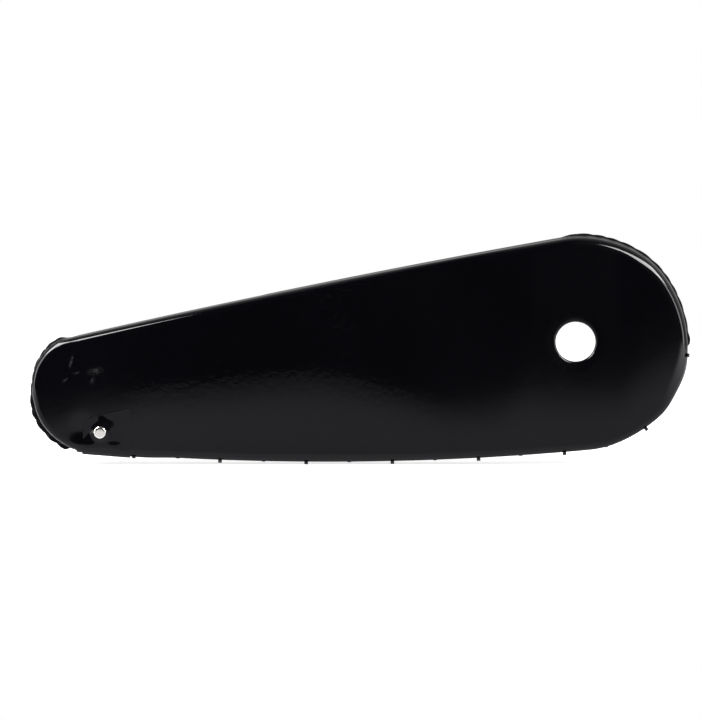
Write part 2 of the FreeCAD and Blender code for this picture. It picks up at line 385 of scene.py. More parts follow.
def lacquered_cloth(name, shine):
    """Black lacquer over cotton: deep gloss, a faint print of the weave, scuffs near the rear end."""
    made, tree, shader = new_material(name)
    where = object_place(tree)
    scuffs = scuff_mask(tree, where)
    worn = compute(tree, "MAXIMUM", scuffs, rub_mask(tree, 0.15, 0.10), clamp=True)
    black = tint(tree, noise(tree, where, 5.0, 3.0), (0.0004, 0.0004, 0.0006), (0.0009, 0.0008, 0.0012))
    rubbed = tint(tree, compute(tree, "MULTIPLY", worn, 0.35), black, (0.03, 0.029, 0.03))
    scuffed = tint(tree, compute(tree, "MULTIPLY", scuffs, 0.7), rubbed, (0.024, 0.023, 0.026))
    tree.links.new(scuffed, shader.inputs["Base Color"])

    # The middle of the case is sharper and more crinkled than the ends
    along = axes(tree, where)["X"]
    behind, ahead = ramp(tree, along, -0.47, -0.40), ramp(tree, along, -0.24, -0.08, 1.0, 0.0)
    creased = compute(tree, "MULTIPLY", behind, ahead)
    gloss = ramp(tree, noise(tree, where, 24.0, 4.0), 0.3, 0.75, 0.022, 0.045)
    gloss = compute(tree, "ADD", gloss, ramp(tree, creased, 0.0, 1.0, 0.052, 0.0))
    rough = compute(tree, "ADD", gloss, compute(tree, "MULTIPLY", worn, 0.12))
    folded = add(tree, "ShaderNodeAttribute", attribute_name="gathered").outputs["Fac"]
    rough = compute(tree, "ADD", rough, compute(tree, "MULTIPLY", folded, 0.22))
    tree.links.new(rough, shader.inputs["Roughness"])

    threads = place(tree, weave, {"Threads per metre": 1250.0})
    print_through = bump(tree, threads["Height"], 0.03, 0.00005)
    crinkle = ramp(tree, creased, 0.0, 1.0, 0.14, 0.42)
    crinkled = bump(tree, noise(tree, where, 190.0, 2.0), crinkle, 0.00006, print_through)
    tree.links.new(crinkled, shader.inputs["Normal"])
    shader.inputs["IOR"].default_value = LACQUER_IOR
    shader.inputs["Specular IOR Level"].default_value = shine
    return made


def cloth_reverse():
    """Bare cotton on the inner side of the cover."""
    made, tree, shader = new_material("cloth_reverse")
    threads = place(tree, weave, {"Threads per metre": 900.0})
    # Painted shade of the weave: raised threads lighter and the gaps between them darker, times a random
    # tone of the cotton.
    lit = compute(tree, "MULTIPLY_ADD", threads["Height"], 0.6, 0.5)
    lit_fuzz = compute(tree, "MULTIPLY", lit, ramp(tree, threads["Shade"], 0.25, 0.75, 0.6, 1.2))
    cotton = tint(tree, lit_fuzz, (0.012, 0.012, 0.012), (0.05, 0.048, 0.045))
    tree.links.new(cotton, shader.inputs["Base Color"])
    tree.links.new(bump(tree, threads["Height"], 0.6, 0.0002), shader.inputs["Normal"])
    shader.inputs["Roughness"].default_value = 0.85
    shader.inputs["Specular IOR Level"].default_value = 0.25
    return made


def black_wire():
    """Stove-enamelled steel wire, with chips down to the metal."""
    made, tree, shader = new_material("black_wire")
    worn = rub_mask(tree, 0.6, 0.8)
    enamelled = tint(tree, worn, (0.012, 0.012, 0.013), (0.10, 0.098, 0.095))
    tree.links.new(enamelled, shader.inputs["Base Color"])
    tree.links.new(ramp(tree, worn, 0.0, 1.0, 0.34, 0.5), shader.inputs["Roughness"])
    drips = noise(tree, object_place(tree), 300.0, 3.0)
    tree.links.new(bump(tree, drips, 0.25, 0.0002), shader.inputs["Normal"])
    return made


def nickel():
    """Nickel plate with a warm tone, worn a little dull on the face."""
    made, tree, shader = new_material("nickel")
    worn = rub_mask(tree, 0.8, 0.6)
    cloudy = noise(tree, object_place(tree), 260.0, 4.0)
    plate = tint(tree, cloudy, (0.66, 0.64, 0.58), (0.76, 0.74, 0.69))
    tree.links.new(tint(tree, worn, plate, (0.5, 0.47, 0.42)), shader.inputs["Base Color"])
    dull = ramp(tree, cloudy, 0.3, 0.7, 0.07, 0.14)
    rough = compute(tree, "ADD", dull, compute(tree, "MULTIPLY", worn, 0.15))
    tree.links.new(rough, shader.inputs["Roughness"])
    shader.inputs["Metallic"].default_value = 1.0
    return made


def waxed_thread():
    """Black waxed sewing thread, with its twist."""
    made, tree, shader = new_material("waxed_thread")
    parts = axes(tree, object_place(tree))
    aslant = compute(tree, "ADD", compute(tree, "ADD", parts["X"], parts["Y"]), parts["Z"])
    twist = compute(tree, "SINE", compute(tree, "MULTIPLY", aslant, 9000.0))
    # Painted shade of the twist: lighter on the crests of its turns, darker in the grooves between them.
    twist_shade = tint(tree, ramp(tree, twist, -1.0, 1.0), (0.006, 0.006, 0.006), (0.022, 0.021, 0.02))
    tree.links.new(twist_shade, shader.inputs["Base Color"])
    tree.links.new(bump(tree, twist, 0.4, 0.0001), shader.inputs["Normal"])
    shader.inputs["Roughness"].default_value = 0.5
    return made


lacquer = lacquered_cloth("lacquered_cloth", PANEL_SHINE)
# Copy of the lacquer that reflects far less: painted shade for the gathered folds.
folds = lacquered_cloth("lacquered_folds_shaded", SHADED_FOLD_SHINE)
reverse = cloth_reverse()
enamel = black_wire()
plating = nickel()
thread = waxed_thread()


# Section of the cover

PANEL_INSET = 0.014
FRONT_ROWS, WALL_ROWS, BACK_ROWS, HEM_ROWS = 14, 14, 9, 9
MIDDLE_X = -0.3

# Swells of the front end: middle and half width in degrees, and height
FRONT_SWELLS = ((-15.0, 13.0, 0.0020), (-38.0, 9.0, 0.0014), (-62.0, 12.0, -0.0008), (48.0, 17.0, 0.0013))


def edge_bend(outward):
    """Radius of the front edge: the cloth lies rounder over the front end and tighter over the rear."""
    turn = turn_of(outward)
    low_front = hump(-96.0, -60.0, -25.0, 8.0, turn)
    full_front = hump(-38.0, -20.0, -18.0, 8.0, turn)
    high_front = hump(-10.0, 20.0, 80.0, 99.0, turn)
    high_rear = hump(102.0, 122.0, 168.0, 192.0, turn % 360.0)
    low_rear = hump(176.0, 200.0, 246.0, 270.0, turn % 360.0)
    rounder = 0.0004 * low_front + 0.0024 * full_front + 0.0015 * high_front
    tighter = 0.0008 * low_rear + 0.0028 * high_rear
    return EDGE_R + EDGE_EASE + rounder - tighter


def low_sag(x):
    """Sag of the lower edge where the tab draws it down."""
    return TAB_SAG * hump(-0.525, -0.490, -0.420, -0.385, x)


def fullness(outward, x):
    """How far the cloth stands out beyond the round of the wire."""
    turn = turn_of(outward)
    round_turn = turn % 360.0
    if x < MIDDLE_X and round_turn > 256.0:
        return low_sag(x)
    if x < MIDDLE_X and round_turn > 104.0:
        high = hump(106.0, 126.0, 150.0, 176.0, round_turn)
        low = hump(168.0, 192.0, 236.0, 258.0, round_turn)
        return 0.0026 * high - 0.0021 * low
    if x < 0.0:
        return 0.0
    return sum(swell * exp(-((turn - middle) / width) ** 2) for middle, width, swell in FRONT_SWELLS)


def section_point(row, bend):
    """Inset, depth, outward lean and path length of a row, from the panel to the end of the hem."""
    share = row / FRONT_ROWS
    flat = PANEL_INSET - bend
    if share <= 1.0:
        path = share * (flat + bend * pi / 2)
        lean = max(path - flat, 0.0) / bend
        inset = PANEL_INSET - path if path < flat else bend * (1 - sin(lean))
        return inset, bend * (1 - cos(lean)), lean, path
    wall = DEPTH - EDGE_R - bend
    path = flat + bend * pi / 2
    if row <= FRONT_ROWS + WALL_ROWS:
        share = (row - FRONT_ROWS) / WALL_ROWS
        return 0.0, bend + wall * share, pi / 2, path + wall * share
    path += wall
    row -= FRONT_ROWS + WALL_ROWS
    if row <= BACK_ROWS:
        lean = pi / 2 * row / BACK_ROWS
        deep = DEPTH - EDGE_R * (1 - sin(lean))
        return EDGE_R * (1 - cos(lean)), deep, pi / 2 + lean, path + EDGE_R * lean
    share = (row - BACK_ROWS) / HEM_ROWS
    over = (HEM - EDGE_R) * share
    return EDGE_R + over, DEPTH, pi, path + EDGE_R * pi / 2 + over


# Gathers of the hem: first angle and the angle that they cover, in degrees
REAR_GATHER_FROM, REAR_GATHER_SPAN = 114.0, 136.0
FRONT_GATHER_FROM, FRONT_GATHER_SPAN = -2.0, 100.0
FULL_FOLD = 0.0012
FOLD_SHARE = 0.6


def rope(count, from_back, pitch, slope):
    """Rounded folds that lie aslant like the turns of a rope, with sharp valleys between them."""
    return abs(sin(pi * (count + slope * from_back / pitch))) ** 0.7


def bell(from_back, rim_reach, hem_reach):
    """Share of a gather's height, which fades over the rim on one side and over the hem on the other."""
    return exp(-(from_back / (rim_reach if from_back < 0 else hem_reach)) ** 2)


def rear_gather(turn, from_back):
    """Lift of the gathers round the rear end; from_back is the way from the start of the back bend."""
    share = (turn - REAR_GATHER_FROM) / REAR_GATHER_SPAN
    fade = hump(-0.03, 0.06, 0.96, 1.03, share)
    if fade <= 0.0:
        return 0.0
    count = 30.5 * log(1 + 0.437 * min(max(share, 0.0), 1.0))
    count += 0.10 * sin(2.4 * count + 0.6)
    roll = 0.0004 + 0.0012 * smooth_step(154.0, 128.0, turn) + 0.0045 * smooth_step(164.0, 204.0, turn)
    tall = 0.0014 + 0.0010 * smooth_step(160.0, 195.0, turn)
    return fade * bell(from_back, 0.0058, 0.0120) * (roll + tall * rope(count, from_back, 0.0125, 1.5))


def front_gather(turn, from_back):
    """Lift of the flatter roll round the front end, with fine folds and a knot where it stops."""
    share = (turn - FRONT_GATHER_FROM) / FRONT_GATHER_SPAN
    fade = hump(-0.006, 0.010, 0.93, 1.06, share)
    if fade <= 0.0:
        return 0.0
    count = 11.6 * share + 0.16 * sin(15.0 * share + 0.9)
    knot = 0.0012 * exp(-((turn - 2.0) / 3.0) ** 2)
    fold = 0.0008 * rope(count, from_back, 0.016, 1.4)
    return fade * bell(from_back, 0.0052, 0.0120) * (0.0022 + knot + fold)


def gather(outward, x, from_back):
    """Lift of the cloth by the gathers of the end that the point belongs to."""
    turn = turn_of(outward)
    if x < MIDDLE_X:
        return rear_gather(turn % 360.0, from_back)
    return front_gather(turn, from_back) if turn > -90 else 0.0


# Lean of the slack cloth along the case: place, and lean in thousandths; even round the crank hole
HOLE_ZONE, HOLE_LEAN = 0.035, 0.5
LEAN_Z = -0.03
LEANS = (
    (-0.56, 24.0), (-0.53, 20.0), (-0.50, 15.0), (-0.48, 10.0), (-0.453, 7.0), (-0.414, 1.6),
    (-0.365, -1.0), (-0.268, -6.6), (-0.22, -4.0), (-0.171, 3.4), (-0.122, 10.4), (-0.078, 9.0),
    (-0.045, 0.5), (-HOLE_ZONE, HOLE_LEAN), (HOLE_ZONE, HOLE_LEAN), (0.045, -1.0),
    (0.065, -10.5), (0.09, -20.5), (0.12, -27.0), (0.15, -30.0),
)

# Pucker of the panel behind the tab: middle, half width and half height
PUCKER_X, PUCKER_Z, PUCKER_WIDE, PUCKER_TALL = -0.4810, -0.0950, 0.0090, 0.0120


def panel_wave(x, z):
    """Slight slackness of the stretched cloth between the wires, on a smooth curve through the leans."""
    if abs(x) < HOLE_ZONE:
        return 0.001 * HOLE_LEAN * (z - LEAN_Z)
    number = 1
    while x > LEANS[number + 1][0]:
        number += 1
    (start, first), (end, second) = LEANS[number], LEANS[number + 1]
    leave = (second - LEANS[number - 1][1]) / 2
    arrive = (LEANS[number + 2][1] - first) / 2
    part = (x - start) / (end - start)
    lean = (
        (2 * part ** 3 - 3 * part ** 2 + 1) * first + (part ** 3 - 2 * part ** 2 + part) * leave
        + (3 * part ** 2 - 2 * part ** 3) * second + (part ** 3 - part ** 2) * arrive
    )
    over, up = x - PUCKER_X, z - PUCKER_Z
    pucker = 0.075 * up * exp(-(over / PUCKER_WIDE) ** 2 - (up / PUCKER_TALL) ** 2)
    return 0.001 * lean * (z - LEAN_Z) + pucker


# Hooks and the slots that they pass through

HOOK_NODES = ("near_hooks", "far_hooks")
SLOT_GAP = 0.00012
STEM_END = 0.0005


def solids_of(node):
    """Points of each separate solid in a CAD node."""
    steel = bmesh.new()
    steel.from_mesh(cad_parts[node].data)
    bmesh.ops.remove_doubles(steel, verts=steel.verts, dist=1e-6)
    solids = []
    left = set(steel.verts)
    while left:
        grown = [left.pop()]
        points = []
        while grown:
            vert = grown.pop()
            points.append(vert.co.copy())
            for edge in vert.link_edges:
                other = edge.other_vert(vert)
                if other in left:
                    left.discard(other)
                    grown.append(other)
        solids.append(points)
    steel.free()
    return solids


def hook_slots(node):
    """Middle, lengthwise direction, depth range and half width of each hook's slot."""
    slots = []
    for points in solids_of(node):
        centre = sum(points, Vector()) / len(points)
        end = front_end if centre.x > touch(front_end, bottom_bow, 0).x else bottom_bow
        flat = Vector((centre.x, centre.z)) - end[0]
        out = Vector((flat.x, 0.0, flat.y)).normalized()
        along = Vector((out.z, 0.0, -out.x))
        top = min((point - centre).dot(out) for point in points)
        stem = [point for point in points if (point - centre).dot(out) < top + STEM_END]
        low_y = min(point.y for point in stem) - SLOT_GAP
        high_y = max(point.y for point in stem) + SLOT_GAP
        wide = max(abs((point - centre).dot(along)) for point in stem) + SLOT_GAP
        rim = Vector((end[0].x, 0.0, end[0].y)) + out * end[1]
        slots.append((Vector((rim.x, (low_y + high_y) / 2, rim.z)), along, low_y, high_y, wide))
    return slots


# Sewing the cloth cover

PANEL_ROWS = 26
REAR_COLUMNS, MIDDLE_COLUMNS, FRONT_COLUMNS = 76, 120, 114
PATCH_R = 0.031
PATCH_RIM_R = 0.05
LIP_SIDES, LIP_BEND_ROWS, LIP_WALL_ROWS = 112, 8, 2
WINDOW_REACH = 0.03
SAME_POINT = 1e-7


def panel_columns():
    """Stations along the case, close together round both ends."""
    inner_rear = REAR_R - PANEL_INSET
    inner_front = FRONT_R - PANEL_INSET
    columns = [REAR_X - inner_rear * cos(pi / 2 * step / REAR_COLUMNS) for step in range(REAR_COLUMNS)]
    columns += [REAR_X + (FRONT_X - REAR_X) * step / MIDDLE_COLUMNS for step in range(MIDDLE_COLUMNS)]
    for step in range(FRONT_COLUMNS + 1):
        columns.append(FRONT_X + inner_front * sin(pi / 2 * step / FRONT_COLUMNS))
    return columns


def lay_panel(bm):
    """Flat panel within the rounded edge, whose points remember their foot and the way outward."""
    columns = panel_columns()
    last = len(columns) - 1
    bmesh.ops.create_grid(bm, x_segments=last, y_segments=PANEL_ROWS, size=0.5)
    outward_of = bm.verts.layers.float_vector.new("outward")
    foot_of = bm.verts.layers.float_vector.new("foot")
    for vert in bm.verts:
        x = columns[round((vert.co.x + 0.5) * last)]
        share = vert.co.y + 0.5
        low, low_out = edge_at(x, False, PANEL_INSET)
        high, high_out = edge_at(x, True, PANEL_INSET)
        out = high_out if share > 0.5 else low_out
        vert.co = Vector((x, FACE_Y, low.y + (high.y - low.y) * share))
        vert[outward_of] = Vector((out.x, 0.0, out.y))
        vert[foot_of] = vert.co
    bmesh.ops.remove_doubles(bm, verts=bm.verts, dist=SAME_POINT)


def fold_rim(bm):
    """Rounded edge, rim, back bend and hem, drawn out row by row from the edge of the panel."""
    gathered = bm.verts.layers.float.new("gathered")
    outward_of = bm.verts.layers.float_vector["outward"]
    foot_of = bm.verts.layers.float_vector["foot"]
    ring = [edge for edge in bm.edges if edge.is_boundary]
    for row in range(1, FRONT_ROWS + WALL_ROWS + BACK_ROWS + HEM_ROWS + 1):
        made = bmesh.ops.extrude_edge_only(bm, edges=ring)["geom"]
        ring = new_edges(made)
        for vert in new_verts(made):
            out, foot = vert[outward_of], vert[foot_of].copy()
            bend = edge_bend(out)
            inset, deep, lean, path = section_point(row, bend)
            start_of_bend = PANEL_INSET - bend + bend * pi / 2 + DEPTH - EDGE_R - bend
            lift = gather(out, foot.x, path - start_of_bend)
            vert[gathered] = min(lift / FULL_FOLD, 1.0)
            full = fullness(out, foot.x) * min(lean, pi - lean, pi / 2) / (pi / 2)
            spread = PANEL_INSET - inset + lift * max(sin(lean), 0.0) + full
            vert.co = foot + out * spread + Vector((0.0, deep - lift * cos(lean), 0.0))


def bore_crank_hole(bm):
    """Clears the cloth round the crank hole and lays it anew, with a lip turned in."""
    bored = []
    for face in bm.faces:
        centre = face.calc_center_median()
        if centre.xz.length < PATCH_R and centre.y < 0:
            bored.append(face)
    bmesh.ops.delete(bm, geom=bored, context="FACES")
    around = [edge for edge in bm.edges if edge.is_boundary and edge.verts[0].co.xz.length < PATCH_RIM_R]
    lip_edge = CRANK_HOLE_R + LIP_R
    upright = Matrix.Translation((0.0, FACE_Y, 0.0)) @ Matrix.Rotation(pi / 2, 4, "X")
    made = bmesh.ops.create_circle(bm, cap_ends=False, segments=LIP_SIDES, radius=lip_edge, matrix=upright)
    lip = list({edge for vert in made["verts"] for edge in vert.link_edges})
    bmesh.ops.triangle_fill(
        bm, use_beauty=True, use_dissolve=False, edges=around + lip, normal=(0, -1, 0),
    )
    for row in range(1, LIP_BEND_ROWS + LIP_WALL_ROWS + 1):
        made = bmesh.ops.extrude_edge_only(bm, edges=lip)["geom"]
        lip = new_edges(made)
        lean = min(row / LIP_BEND_ROWS, 1.0) * pi / 2
        reach = lip_edge - LIP_R * sin(lean)
        wall = max(row - LIP_BEND_ROWS, 0) / LIP_WALL_ROWS * (LIP_DEPTH - LIP_R)
        deep = LIP_R * (1 - cos(lean)) + wall
        for vert in new_verts(made):
            flat = Vector((vert.co.x, 0.0, vert.co.z)).normalized() * reach
            vert.co = Vector((flat.x, FACE_Y + deep, flat.z))


def cut_window(bm, middle, sides):
    """Opens a window in the cloth: sides are (point, direction out of the window)."""
    for point, away in sides:
        close = [face for face in bm.faces if (face.calc_center_median() - middle).length < WINDOW_REACH]
        geometry = set(close)
        for face in close:
            geometry.update(face.edges)
            geometry.update(face.verts)
        bmesh.ops.bisect_plane(
            bm, geom=list(geometry), dist=SAME_POINT, plane_co=point, plane_no=away,
        )
    inside = []
    for face in bm.faces:
        centre = face.calc_center_median()
        near = (centre - middle).length < WINDOW_REACH
        if near and all((centre - point).dot(away) < 0 for point, away in sides):
            inside.append(face)
    bmesh.ops.delete(bm, geom=inside, context="FACES")


def cut_slit(bm):
    """Slit under the tab, from behind the front edge to the end of the hem."""
    across = Vector((1.0, 0.0, 0.0))
    middle = Vector((SLIT_X, DEPTH / 2 + FACE_Y, edge_at(SLIT_X, False, 0)[0].y))
    cut_window(bm, middle, [
        (middle + across * SLIT_HALF, across),
        (middle - across * SLIT_HALF, -across),
        (Vector((SLIT_X, SLIT_FRONT_Y, 0.0)), Vector((0, -1, 0))),
    ])


def cut_hook_slots(bm):
    for node in HOOK_NODES:
        for middle, along, low_y, high_y, wide in hook_slots(node):
            cut_window(bm, middle, [
                (middle + along * wide, along),
                (middle - along * wide, -along),
                (Vector((middle.x, low_y, middle.z)), Vector((0, -1, 0))),
                (Vector((middle.x, high_y, middle.z)), Vector((0, 1, 0))),
            ])


def slacken_panel(bm):
    for vert in bm.verts:
        hold = 1 - smooth_step(FACE_Y, FACE_Y + EDGE_R, vert.co.y)
        if hold > 0:
            vert.co.y += hold * panel_wave(vert.co.x, vert.co.z)


def cloth_cover():
    """Cover of one cut of cloth; its folds have the second material, a copy of the lacquer that reflects far
    less and so paints shade into them, and its inner side the third.
    """
    bm = bmesh.new()
    lay_panel(bm)
    fold_rim(bm)
    bore_crank_hole(bm)
    cut_slit(bm)
    cut_hook_slots(bm)
    slacken_panel(bm)
    face_forward(bm, FACE_Y + CLOTH / 2)
    gathered = bm.verts.layers.float["gathered"]
    for face in bm.faces:
        if sum(vert[gathered] for vert in face.verts) > FOLD_SHARE * len(face.verts):
            face.material_index = 1
    piece = finish_piece("cloth_cover_sewn", bm, [lacquer, folds, reverse])
    thicken(piece, CLOTH, 2)
    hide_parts("cloth_cover")
    return piece


# Bending the wire frame

WIRE_SIDES = 14
RUN_STEPS = (90, 64, 60, 40)


def wire_loop(name, node, y):
    """Round wire carried round the four runs of the outline."""
    bm = bmesh.new()
    start = touch(rear_end, bottom_bow, LOOP_INSET)
    outward = (start - rear_end[0]).normalized()
    across = Matrix.Rotation(atan2(outward.x, -outward.y), 4, "Y")
    stand = Matrix.Translation((start.x, y, start.y)) @ across @ Matrix.Rotation(pi / 2, 4, "Y")
    made = bmesh.ops.create_circle(bm, cap_ends=False, segments=WIRE_SIDES, radius=LOOP_WIRE_R, matrix=stand)
    ring = made["verts"] + list({edge for vert in made["verts"] for edge in vert.link_edges})
    for (centre, _, _, sweep), steps in zip(outline_runs(), RUN_STEPS):
        made = bmesh.ops.spin(
            bm, geom=ring, cent=(centre.x, y, centre.y), axis=(0, -1, 0), angle=sweep, steps=steps,
        )
        ring = made["geom_last"]
    bmesh.ops.remove_doubles(bm, verts=bm.verts, dist=1e-5)
    bmesh.ops.recalc_face_normals(bm, faces=bm.faces)
    piece = finish_piece(name, bm, [enamel])
    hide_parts(node)
    return piece


def nearest_centre(x, z):
    """Centre of the run of the outline that lies nearest to a point inside it."""
    upper = z > REAR_Z + (FRONT_Z - REAR_Z) * (x - REAR_X) / (FRONT_X - REAR_X)
    bow = top_bow if upper else bottom_bow
    if x < touch(rear_end, bow, SPACER_INSET).x:
        return rear_end[0]
    if x > touch(front_end, bow, SPACER_INSET).x:
        return front_end[0]
    return bow[0]


def spacer_wires():
    """Round spacer wires with rounded ends and a bead of weld at each loop."""
    bm = bmesh.new()
    names = sorted(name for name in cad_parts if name.startswith("spacer_wire"))
    for name in names:
        low, high = (Vector(corner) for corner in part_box(name))
        middle = (low + high) / 2
        stand = Matrix.Translation(middle) @ Matrix.Rotation(pi / 2, 4, "X")
        made = bmesh.ops.create_cone(
            bm, cap_ends=True, segments=WIRE_SIDES, radius1=SPACER_WIRE_R, radius2=SPACER_WIRE_R,
            depth=high.y - low.y, matrix=stand,
        )
        edges = {edge for vert in made["verts"] for edge in vert.link_edges}
        rims = [edge for edge in edges if abs(edge.verts[0].co.y - edge.verts[1].co.y) < 1e-6]
        bmesh.ops.bevel(
            bm, geom=rims, offset=SPACER_ROUND, segments=2, affect="EDGES", profile=0.5, material=-1,
        )
        out = (Vector((middle.x, middle.z)) - nearest_centre(middle.x, middle.z)).normalized()
        for y in (FRONT_LOOP_Y, BACK_LOOP_Y):
            spot = Vector((middle.x + out.x * BEAD_OUT, y, middle.z + out.y * BEAD_OUT))
            turn = Matrix.Rotation(-atan2(out.y, out.x), 4, "Y")
            bead = Matrix.Translation(spot) @ turn @ Matrix.Diagonal((*BEAD_SIZE, 1.0))
            bmesh.ops.create_icosphere(bm, subdivisions=2, radius=1.0, matrix=bead)
    bmesh.ops.recalc_face_normals(bm, faces=bm.faces)
    piece = finish_piece("spacer_wires_welded", bm, [enamel])
    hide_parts(*names)


# Closing tab and press stud, laid over the cover

TAB_COLUMNS = 80
TAB_BACK_ROWS, TAB_BEND_ROWS, TAB_UNDER_ROWS, TAB_FACE_ROWS = 6, 8, 12, 40

# Puckers of the tab round the stud: place from its middle, half width, half height and upward tilt
PUCKERS = (
    (0.0025, 0.0130, 0.0050, 0.0065, 0.07),
    (0.0075, 0.0075, 0.0050, 0.0070, 0.07),
    (-0.0110, -0.0075, 0.0090, 0.0125, 0.17),
    (0.0125, -0.0110, 0.0085, 0.0060, 0.13),
)

# Section of the cap: distance from its axis and rise over its rim
CAP_SECTION = (
    (0.0, 0.001850), (0.0012, 0.001846), (0.0024, 0.001833), (0.0036, 0.001810), (0.0044, 0.001780),
    (0.0049, 0.00170), (0.0053, 0.00155), (0.0056, 0.00133), (0.0058, 0.00105), (0.00590, 0.00070),
    (0.00592, 0.00035), (0.0058, 0.00005),
)
CAP_SIDES = 64


def tab_top(x):
    """Height of the tab's top edge at x."""
    touch_x = STUD_X + TAB_ROUND_R * cos(TAB_TOP_ANGLE)
    touch_z = STUD_Z + TAB_ROUND_R * sin(TAB_TOP_ANGLE)
    if x > touch_x:
        return touch_z - (x - touch_x) * cos(TAB_TOP_ANGLE) / sin(TAB_TOP_ANGLE)
    return STUD_Z + sqrt(max(TAB_ROUND_R ** 2 - (x - STUD_X) ** 2, 0.0))


def tab_rows():
    """Stretch and place of each row: from the hem on the back, under the case and up the front."""
    back, under = TAB_BACK - EDGE_R, DEPTH - 2 * EDGE_R
    quarter = [pi / 2 * step / TAB_BEND_ROWS for step in range(1, TAB_BEND_ROWS + 1)]
    rows = [("back", TAB_BACK - back * step / TAB_BACK_ROWS) for step in range(TAB_BACK_ROWS + 1)]
    rows += [("back bend", turn) for turn in quarter]
    for step in range(1, TAB_UNDER_ROWS + 1):
        rows.append(("under", DEPTH - EDGE_R - under * step / TAB_UNDER_ROWS))
    rows += [("front bend", turn) for turn in quarter]
    rows += [("front", step / TAB_FACE_ROWS) for step in range(1, TAB_FACE_ROWS + 1)]
    return rows


def tab_point(x, stretch, value):
    """Point of the tab at x, on one of its stretches."""
    foot, outward = edge_at(x, False, EDGE_R)
    out = Vector((outward.x, 0.0, outward.y))
    base = Vector((foot.x, FACE_Y, foot.y))
    if stretch == "back":
        return base + out * (EDGE_R - value) + Vector((0, DEPTH + TAB_OUT, 0))
    if stretch == "front":
        low = foot.y - low_sag(x)
        return Vector((x, FACE_Y - TAB_OUT, low + (tab_top(x) - low) * value))
    base += out * low_sag(x)
    if stretch == "back bend":
        return base + out * (TAB_BEND * sin(value)) + Vector((0, DEPTH - EDGE_R + TAB_BEND * cos(value), 0))
    if stretch == "front bend":
        return base + out * (TAB_BEND * cos(value)) + Vector((0, EDGE_R - TAB_BEND * sin(value), 0))
    return base + out * TAB_BEND + Vector((0, value, 0))


def tab_swell(x, z):
    """How far the tab stands off the panel at a place counted from the stud."""
    away = hypot(x, z)
    close = 1 - smooth_step(0.0046, 0.0108, away)
    around = 1 - smooth_step(0.0060, 0.0280, hypot(x, min(z, 0.0)))
    swell = TAB_RISE * (0.55 * close + 0.45 * around)
    for middle_x, middle_z, wide, tall, tilt in PUCKERS:
        over, up = x - middle_x, z - middle_z
        swell -= tilt * up * exp(-(over / wide) ** 2 - (up / tall) ** 2)
    flare = hump(95.0, 125.0, 170.0, 205.0, degrees(atan2(z, x)) % 360.0)
    swell += 13.0 * flare * max(away - 0.0075, 0.0) ** 2
    below_top = tab_top(STUD_X + x) - STUD_Z - z
    return swell + 34.0 * smooth_step(0.004, 0.012, x) * max(0.0045 - below_top, 0.0) ** 2


def closing_tab():
    """Tab round the lower edge, which stands off the panel round the stud."""
    bm = bmesh.new()
    rows = tab_rows()
    last = len(rows) - 1
    bmesh.ops.create_grid(bm, x_segments=TAB_COLUMNS, y_segments=last, size=0.5)
    left = STUD_X - TAB_ROUND_R
    for vert in bm.verts:
        share = (1 - cos((vert.co.x + 0.5) * pi / 2)) ** 0.8
        point = tab_point(left + (TAB_RIGHT_X - left) * share, *rows[round((vert.co.y + 0.5) * last)])
        if point.y < FACE_Y + EDGE_R:
            point.y -= tab_swell(point.x - STUD_X, point.z - STUD_Z)
        vert.co = point
    face_forward(bm, FACE_Y)
    for edge in bm.edges:
        edge.smooth = not edge.is_boundary
    piece = finish_piece("closing_tab_sewn", bm, [lacquer, reverse])
    thicken(piece, TAB_CLOTH, 1)
    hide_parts("closing_tab")
    return piece


def stud_cap():
    """Pressed cap with a low domed face and a rolled rim."""
    bm = bmesh.new()
    line = [bm.verts.new((STUD_X + reach, CAP_Y - rise, STUD_Z)) for reach, rise in CAP_SECTION]
    edges = [bm.edges.new(pair) for pair in zip(line, line[1:])]
    bmesh.ops.spin(
        bm, geom=line + edges, cent=(STUD_X, 0, STUD_Z), axis=(0, 1, 0), angle=2 * pi, steps=CAP_SIDES,
        use_merge=True,
    )
    bmesh.ops.remove_doubles(bm, verts=bm.verts, dist=1e-6)
    face_forward(bm, CAP_Y)
    piece = finish_piece("stud_cap_pressed", bm, [plating])
    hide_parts("stud_cap")


# Seams

STITCH_PITCH = 0.0036
STITCH_HALF = 0.0013
THREAD_R = 0.0003
SEAM_IN = 0.0024


def stitch(bm, spot, along):
    """One short stitch of thread on the back, half sunk in the cloth."""
    up = Vector((0.0, 1.0, 0.0))
    turn = Matrix((along, along.cross(up), up)).transposed().to_4x4()
    shape = Matrix.Translation(spot) @ turn @ Matrix.Diagonal((STITCH_HALF, THREAD_R, THREAD_R, 1.0))
    bmesh.ops.create_uvsphere(bm, u_segments=6, v_segments=5, radius=1.0, matrix=shape)


def hem_seam():
    """Row of stitches along the inner edge of the hem, open at the slit."""
    bm = bmesh.new()
    inset = HEM - SEAM_IN
    for centre, radius, first, sweep in outline_runs():
        reach = radius - inset
        count = round(reach * sweep / STITCH_PITCH)
        for number in range(count):
            turn = first + sweep * (number + 0.5) / count
            out = Vector((cos(turn), 0.0, sin(turn)))
            spot = Vector((centre.x, 0.0, centre.y)) + out * reach
            spot.y = FACE_Y + DEPTH + gather(out, spot.x, EDGE_R * pi / 2 + inset - EDGE_R)
            if abs(spot.x - SLIT_X) > SEAM_IN or out.z > 0:
                stitch(bm, spot, Vector((-sin(turn), 0.0, cos(turn))))
    bmesh.ops.recalc_face_normals(bm, faces=bm.faces)
    return finish_piece("hem_seam", bm, [thread])


